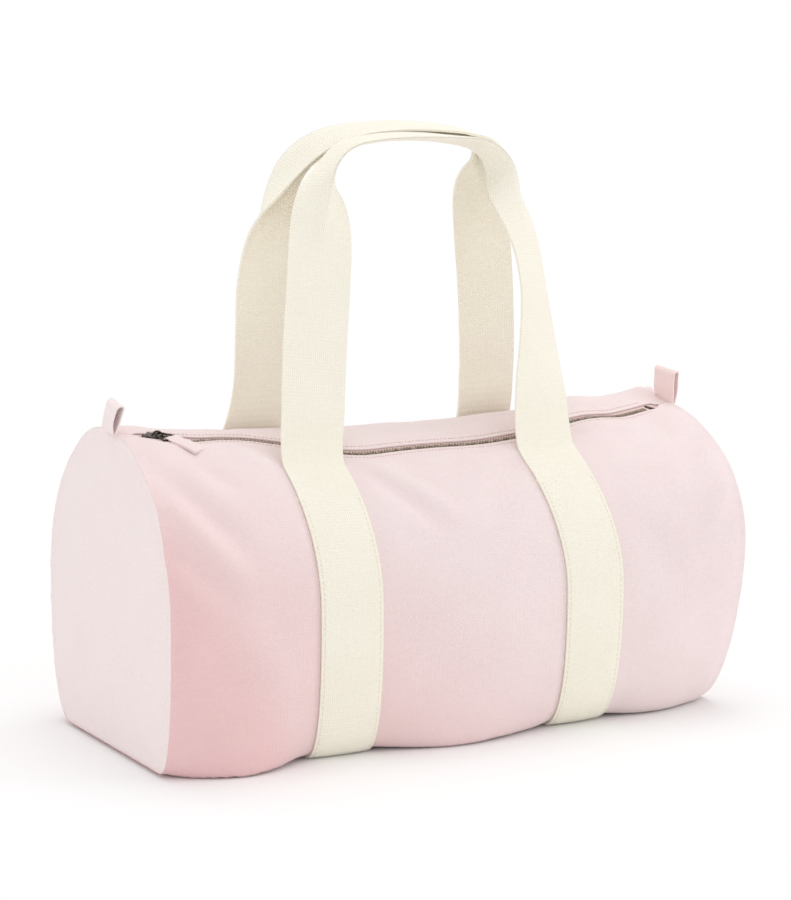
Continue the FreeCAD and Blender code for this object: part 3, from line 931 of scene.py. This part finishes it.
def handle_place(stations, side):
    """Place and flat functions of a handle; side is -1 for the front one, 1 for the back."""
    samples = 600
    spots = [Vector(along_path(stations, i / samples)[:3]) for i in range(samples + 1)]
    lengths = [0.0]
    for first, second in zip(spots, spots[1:]):
        lengths.append(lengths[-1] + (second - first).length)
    free_length = lengths[-1]

    def path(run):
        """Station at a run along the free webbing."""
        run = min(free_length, max(0.0, run))
        i = max(1, min(samples, bisect.bisect(lengths, run)))
        share = (i - 1 + (run - lengths[i - 1]) / (lengths[i] - lengths[i - 1])) / samples
        return along_path(stations, share)

    def foot(across, leg, past):
        """Point on the sewn end of a leg, -1 left or 1 right, past the leaving line."""
        return strap_face(leg, across * leg * side, leave_run(leg, side) - side * past)

    def free(across, run):
        """Point on the free webbing, folded about its middle line."""
        reach = 0.004
        x, y, z, fold, turn = path(run)
        fold = min(1.0, max(0.0, fold))
        ahead = Vector(path(run + reach)[:3]) - Vector(path(run - reach)[:3])
        ahead.normalize()
        facing = Vector((0.0, side, 0.2))
        wide = ahead.cross(facing).normalized()
        out = wide.cross(ahead).normalized()
        swing = math.radians(turn)
        wide, out = (wide * math.cos(swing) + out * math.sin(swing),
                     out * math.cos(swing) - wide * math.sin(swing))
        closed = math.radians(fold_angle) * fold
        arm = strap_half * math.sqrt(across * across + fold_round * fold)
        apart = strap_half * across * math.cos(closed)
        apart += fold_gap * fold * math.tanh(across * fold_sharp)
        above = (0.5 * strap_half - arm) * math.sin(closed)
        return Vector((x, y, z)) + wide * apart + out * above

    def flat(u, v):
        return (2.0 * u - 1.0) * strap_half, v * (free_length + 2.0 * handle_overlap)

    def place(u, v):
        leg = -1.0 if v < 0.5 else 1.0
        across = 2.0 * u - 1.0
        run = flat(u, v)[1] - handle_overlap
        from_end = min(run, free_length - run)
        if from_end <= 0.0:
            return foot(across, leg, -from_end)
        rising = smooth(0.0, handle_rise, from_end)
        spot = free(across, run)
        if rising < 1.0:
            spot = foot(across, leg, -rise_creep * from_end).lerp(spot, rising)
        return spot

    return place, flat


for face_name, side, stations in (("front", -1.0, front_stations), ("back", 1.0, back_stations)):
    handle = grid_piece(face_name + "_handle_webbing", 20, 260, *handle_place(stations, side))
    thicken(handle, webbing_thickness, -1.0)
    handle.data.materials.append(cream_webbing)
    leave = front_leave if side < 0 else back_leave
    hinge_z = on_barrel(strap_middle, run_at(strap_middle, leave, side), strap_lift).z
    start = (0.0, leave + side * blend_outside, hinge_z - blend_outside)
    end = (0.0, leave - side * blend_inside, hinge_z + blend_above)
    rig.blend(handle, "bag", face_name + "_handle", start, end)
    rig.replaces(handle, face_name + "_handle")
    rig.slot(handle, "webbing")

# Zip: two rows of stamped teeth clamped on cotton tapes that are dyed with the canvas
# and sewn under both edges of the slot. Behind the slider the rows part, so each is
# made in short lengths that draw back to the canvas as the slider opens the zip.

tape_inner = 0.0015
tape_outer = 0.0140
tape_drop = -0.0017          # from the canvas face to the middle of the tape
tape_thickness = 0.0006
tape_half_span = 0.2360
tapes_meet = (0.212, 0.218)  # along X, where the tapes close up past the bottom stop
zip_lengths = 14
tooth_pitch = 0.0025
tooth_first = -0.2050
tooth_last = 0.2180
tooth_size = (0.0011, 0.0036, 0.0020)   # along the zip, across it, and high
tooth_shift = 0.0009         # its middle, from the zip's middle
tooth_bevel = 0.00025
zip_parting = 0.7            # how far the middle lengths draw back, as a share of their width

# Close-woven cotton tape, dyed with the canvas but deeper: matt, with a fine rib that is
# drawn about twice as wide as it is, so that it shows.
pink_tape = cloth("pink cotton zip tape", "#F0D8D4", "#E4C2BE", (0.0010, 0.0016), 0.003,
                  0.5, 0.85)
wear_per_metre = 420.0       # patches of rubbed plating, about 2.4 mm across
wear_relief = 0.0002


def antique(name, dark, light):
    """Plated brass: darker in the hollows, paler and shinier where it is rubbed."""
    made, tree, shader = material(name)
    place = add(tree, "ShaderNodeTexCoord").outputs["Object"]
    wear = add(tree, "ShaderNodeTexNoise",
               {"Vector": place, "Scale": wear_per_metre, "Detail": 4.0})
    ramp = add(tree, "ShaderNodeMapRange",
               {"Value": wear.outputs["Fac"], "From Min": 0.42, "From Max": 0.72})
    shade = add(tree, "ShaderNodeMix",
                {0: ramp.outputs["Result"], 6: linear(dark), 7: linear(light)},
                data_type="RGBA")
    gloss = add(tree, "ShaderNodeMapRange",
                {"Value": wear.outputs["Fac"], "To Min": 0.5, "To Max": 0.28})
    height = add(tree, "ShaderNodeBump",
                 {"Height": wear.outputs["Fac"], "Strength": 0.15, "Distance": wear_relief})
    feed(tree, shader, {"Base Color": shade.outputs[2], "Metallic": 1.0,
                        "Roughness": gloss.outputs["Result"], "Normal": height.outputs["Normal"]})
    return made


# Stamped brass with a dark antique plating, rubbed paler on the teeth.
tooth_brass = antique("rubbed antique brass", "#786A5D", "#C9BBA9")
dark_brass = antique("dark antique brass", "#37302B", "#7A6B5E")


def zip_axes(x):
    """Directions at x on the zip: along it, down the front, and out."""
    reach = 0.002
    run = zip_run(x)
    ahead = on_barrel(x + reach, zip_run(x + reach), 0.0)
    behind = on_barrel(x - reach, zip_run(x - reach), 0.0)
    along = (ahead - behind).normalized()
    down = on_barrel(x, run + reach, 0.0) - on_barrel(x, run - reach, 0.0)
    out = down.cross(along).normalized()
    return along, along.cross(out).normalized(), out


def zip_teeth(name, side, first_x, last_x):
    """Teeth of one row between two places along the zip."""
    places = []
    for i in range(int((tooth_last - tooth_first) / tooth_pitch)):
        x = tooth_first + tooth_pitch * (i + (0.5 if side < 0 else 0.0))
        if first_x <= x < last_x:
            along, down, out = zip_axes(x)
            middle = on_barrel(x, zip_run(x), tape_drop) + down * (side * tooth_shift)
            places.append((middle, (along, down, out), tooth_size))
    return blocks(name, places, tooth_bevel)


for face_name, side in (("front", 1.0), ("back", -1.0)):
    for part in range(zip_lengths):
        first_x = tape_half_span * (2.0 * part / zip_lengths - 1.0)
        last_x = tape_half_span * (2.0 * (part + 1) / zip_lengths - 1.0)
        middle_x = 0.5 * (first_x + last_x)

        def tape_flat(u, v):
            x = first_x + (last_x - first_x) * u
            inner = tape_inner * (1.0 - 0.9 * smooth(*tapes_meet, x))
            return x, side * (inner + (tape_outer - inner) * v)

        def tape_place(u, v):
            x, off = tape_flat(u, v)
            return on_barrel(x, zip_run(x) + off, tape_drop)

        tape = grid_piece("%s_zip_tape_%02d" % (face_name, part + 1), 10, 8,
                          tape_place, tape_flat)
        if side > 0:
            tape.data.flip_normals()
        thicken(tape, tape_thickness, 0.0)
        teeth = zip_teeth("%s_zip_teeth_%02d" % (face_name, part + 1), side, first_x, last_x)
        opened = math.sin(math.pi * (part + 0.5) / zip_lengths) ** 0.8
        edge = on_barrel(middle_x, zip_run(middle_x) + side * lip_gap(middle_x), tape_drop)
        for piece, node, finish, slot in ((tape, "_zip_tape", pink_tape, "zip_tape"),
                                          (teeth, "_zip_teeth", tooth_brass, "dark_metal")):
            piece.data.materials.append(finish)
            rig.ride(piece, "bag")
            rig.replaces(piece, face_name + node)
            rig.slot(piece, slot)
            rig.squash(piece, "zip_slide", zip_axes(middle_x)[1], edge, 1.0 - zip_parting * opened)

for name in ("zip_top_stops", "zip_bottom_stop", "zip_slider", "zip_puller"):
    metal = frame["nodes"][name]
    metal.data.materials.clear()
    metal.data.materials.append(dark_brass)

# Spun cotton thread, dyed with the canvas: one matt row beside each edge of the slot.
pink_thread = plain("pink cotton thread", "#EED8D4", "#DDBFBA", 0.0008, 0.8)
lip_thread = 0.0006
lip_stitch = 0.0032
lip_stitch_inset = 0.0040    # from the canvas edge
lip_stitch_lift = 0.0002
lip_half_span = 0.219

lip_rows = []
for side in (-1.0, 1.0):
    row = []
    for i in range(row_steps):
        x = lip_half_span * (2.0 * i / row_steps - 1.0)
        run = zip_run(x) + side * (lip_gap(x) + lip_stitch_inset)
        row.append(stitch_spot(on_barrel(x, run, lip_stitch_lift), x, run))
    lip_rows.append(row)
lip_stitches = stitched("zip_stitches", lip_rows, lip_thread, lip_stitch)
lip_stitches.data.materials.append(pink_thread)
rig.ride(lip_stitches, "bag")
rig.slot(lip_stitches, "canvas")

# Pull tab: a strip of the canvas folded round the puller's ring and stitched flat on
# itself, two plies thick, so that fingers can take hold of it.

pull_width = 0.0150
pull_length = 0.0260
pull_ply = 0.0009
pull_neck = 0.0065           # from the ring to where the plies meet
pull_eye = 0.0014            # round the ring's wire, to the middle of the ply
pull_gap = 0.55 * pull_ply   # from the tab's middle to the middle of each ply
pull_bow = 0.0010
pull_droop = 0.0012
pull_cup = 0.0006
joints = {joint["name"]: joint for joint in frame["record"]["behaviour"]["joints"]}
pull_foot = Vector(joints["pull_tab_swing"]["pos_m"])
pull_along = (pull_foot - Vector(joints["puller_swing"]["pos_m"])).normalized()
pull_across = Vector(joints["pull_tab_swing"]["axis"]).normalized()
pull_out = pull_across.cross(pull_along)
pull_turn = math.pi * pull_eye
pull_cut = 2.0 * pull_length + pull_turn


def pull_flat(u, v):
    """Place on the flat strip of a share pair: across it, and along it from its middle."""
    return pull_width * (u - 0.5), pull_cut * (v - 0.5)


def pull_place(u, v):
    """Point on the folded strip."""
    across, run = pull_flat(u, v)
    ply = math.copysign(1.0, run)
    past = abs(run) - 0.5 * pull_turn
    if past < 0.0:
        angle = run / pull_eye
        ahead, up = -pull_eye * math.cos(angle), pull_eye * math.sin(angle)
    else:
        ahead = past
        gap = pull_gap + (pull_eye - pull_gap) * (1.0 - smooth(0.0, pull_neck, past))
        up = ply * gap
    share = ahead / pull_length
    bow = pull_bow * math.sin(math.pi * share) - pull_droop * max(0.0, share) ** 2
    cup = -pull_cup * (2.0 * across / pull_width) ** 2 * smooth(0.0, pull_neck, ahead)
    return pull_foot + pull_along * ahead + pull_across * across + pull_out * (up + bow + cup)


pull_tab = grid_piece("zip_pull_tab_canvas", 10, 64, pull_place, pull_flat)
thicken(pull_tab, pull_ply, 0.0)
pull_tab.data.materials.append(pink_canvas_painted_shade)
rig.ride(pull_tab, "pull_tab")
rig.replaces(pull_tab, "zip_pull_tab")
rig.slot(pull_tab, "canvas")

# Tab loops: short strips of canvas folded in half and caught in the end seams at both
# ends of the zip. They stand up, a little open at the top.

tab_width = 0.022
tab_ply = 0.0010
tab_top = 0.0029             # radius of the round top, to the middle of the ply
tab_foot_gap = 0.0006        # half of the gap between the plies at the foot
tab_foot_depth = 0.0012      # how far the foot goes down into the seam
tab_wave = 0.0016
tab_narrowing = 0.05

# Two plies of the cotton duck: the same weave, in a stronger pink.
deep_canvas = cloth("pink cotton canvas, doubled", "#F8E6E4", "#F2D6D3", canvas_threads,
                    canvas_slub, 0.35, 0.86)

# End of the bag, height, twist in degrees, slant as a share of the height, and canvas.
tab_loops = (
    ("left", 0.0210, 0.0, 0.22, pale_canvas),
    ("right", 0.0270, 20.0, -0.10, deep_canvas),
)

for end, tab_height, twist, slant, canvas in tab_loops:
    joint = joints[end + "_tab_flop"]
    tab_foot = Vector(joint["pos_m"])
    tab_across = Vector(joint["axis"]).normalized()
    tab_up = Vector((1.0, 0.0, 0.0)).cross(tab_across)
    straight = tab_height - tab_top
    tab_cut = 2.0 * straight + math.pi * tab_top

    def tab_flat(u, v):
        return tab_width * (u - 0.5), tab_cut * (v - 0.5)

    def tab_place(u, v):
        across, run = tab_flat(u, v)
        ply = math.copysign(1.0, run)
        down = abs(run) - 0.5 * math.pi * tab_top
        if down < 0.0:
            angle = run / tab_top
            up, apart = straight + tab_top * math.cos(angle), tab_top * math.sin(angle)
        else:
            up = straight - down
            opening = smooth(-0.004, 0.6 * straight, up)
            apart = ply * (tab_foot_gap + (tab_top - tab_foot_gap) * opening)
        lean = slant * up + tab_wave * math.sin(3.0 * up / tab_height) * across / tab_width
        narrow = 1.0 - tab_narrowing * smooth(0.0, tab_height, up)
        swing = math.radians(twist) * smooth(-0.3 * tab_height, 0.5 * tab_height, up)
        wide = tab_across * math.cos(swing) - Vector((math.sin(swing), 0.0, 0.0))
        through = tab_across * math.sin(swing) + Vector((math.cos(swing), 0.0, 0.0))
        spot = tab_foot + tab_up * (up - tab_foot_depth) + Vector((lean, 0.0, 0.0))
        return spot + wide * (across * narrow) + through * apart

    loop = grid_piece(end + "_tab_loop_canvas", 12, 60, tab_place, tab_flat)
    thicken(loop, tab_ply, 0.0)
    loop.data.materials.append(canvas)
    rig.ride(loop, end + "_tab")
    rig.replaces(loop, end + "_tab_loop")
    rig.slot(loop, "canvas")

# Stage: a pale floor that runs out to white, an even white world, a broad key from the
# right with two weak fills from the left, a large lamp overhead, and the camera at the
# photograph's place.

white = linear("#FFFFFF")
floor_fade = (0.30, 0.9)     # from the middle of the floor, where it turns to white
floor_half = 12.0
world_light = 0.755          # on the bag; the camera and the metal see plain white

floor_mesh = bmesh.new()
bmesh.ops.create_grid(floor_mesh, x_segments=1, y_segments=1, size=floor_half)
floor = finished("floor", floor_mesh)

# Matt white paint: it takes the bag's soft shadow and fades out to plain white.
floor_paint, tree, shader = material("pale floor")
place = add(tree, "ShaderNodeTexCoord").outputs["Object"]
far = add(tree, "ShaderNodeVectorMath", {0: place}, operation="LENGTH")
edge = add(tree, "ShaderNodeMapRange",
           {"Value": far.outputs["Value"], "From Min": floor_fade[0], "From Max": floor_fade[1]},
           interpolation_type="SMOOTHSTEP")
feed(tree, shader, {"Base Color": linear("#FBFBFB"), "Roughness": 0.9,
                    "Specular IOR Level": 0.0})
glow = add(tree, "ShaderNodeEmission", {"Color": white, "Strength": 1.0})
blend = add(tree, "ShaderNodeMixShader",
            {0: edge.outputs["Result"], 1: shader.outputs["BSDF"], 2: glow.outputs["Emission"]})
feed(tree, tree.nodes["Material Output"], {"Surface": blend.outputs["Shader"]})
floor.data.materials.append(floor_paint)
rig.stage(floor)

world = bpy.data.worlds.new("studio")
bpy.context.scene.world = world
world.use_nodes = True
tree = world.node_tree
path = add(tree, "ShaderNodeLightPath").outputs
seen = add(tree, "ShaderNodeMath",
           {0: path["Is Camera Ray"], 1: path["Is Glossy Ray"]}, operation="MAXIMUM")
power = add(tree, "ShaderNodeMapRange",
            {"Value": seen.outputs[0], "To Min": world_light, "To Max": 1.0})
feed(tree, tree.nodes["Background"], {"Color": white, "Strength": power.outputs["Result"]})


def aimed(spot, target):
    """Turn of a lamp or camera at spot that makes it look at target."""
    return (Vector(target) - Vector(spot)).to_track_quat("-Z", "Y").to_euler()


# Place, target, size and watts.
lamps = {
    "key": ((1.65, -0.95, 0.50), (0.0, 0.0, 0.22), 1.0, 6.3),
    "front fill": ((-1.0, -1.85, 0.30), (0.0, 0.0, 0.20), 0.8, 2.6),
    "side fill": ((-1.8, 0.1, 0.7), (-0.2, 0.0, 0.12), 1.0, 2.2),
    "top": ((0.1, 0.2, 2.2), (0.0, 0.0, 0.0), 1.8, 15.0),
}
for name, (spot, target, size, watts) in lamps.items():
    lamp = bpy.data.lights.new(name, "AREA")
    lamp.energy = watts
    lamp.size = size
    holder = bpy.data.objects.new(name, lamp)
    bpy.context.scene.collection.objects.link(holder)
    holder.location = spot
    holder.rotation_euler = aimed(spot, target)
    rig.stage(holder)

camera_place = (-0.8678, -1.6157, 0.4287)
camera_target = (-0.0062, 0.0, 0.211)
lens = bpy.data.cameras.new("camera")
lens.sensor_fit = "AUTO"
lens.sensor_width = 36.0
lens.lens = 94.6
camera = bpy.data.objects.new("camera", lens)
bpy.context.scene.collection.objects.link(camera)
camera.location = camera_place
camera.rotation_euler = aimed(camera_place, camera_target)
bpy.context.scene.camera = camera
bpy.context.scene.view_settings.view_transform = "Standard"

visual_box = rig.bounds()
with open("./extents.json", "w") as out:
    json.dump({"cad": [list(c) for c in cad_box], "visual": [list(c) for c in visual_box]}, out)
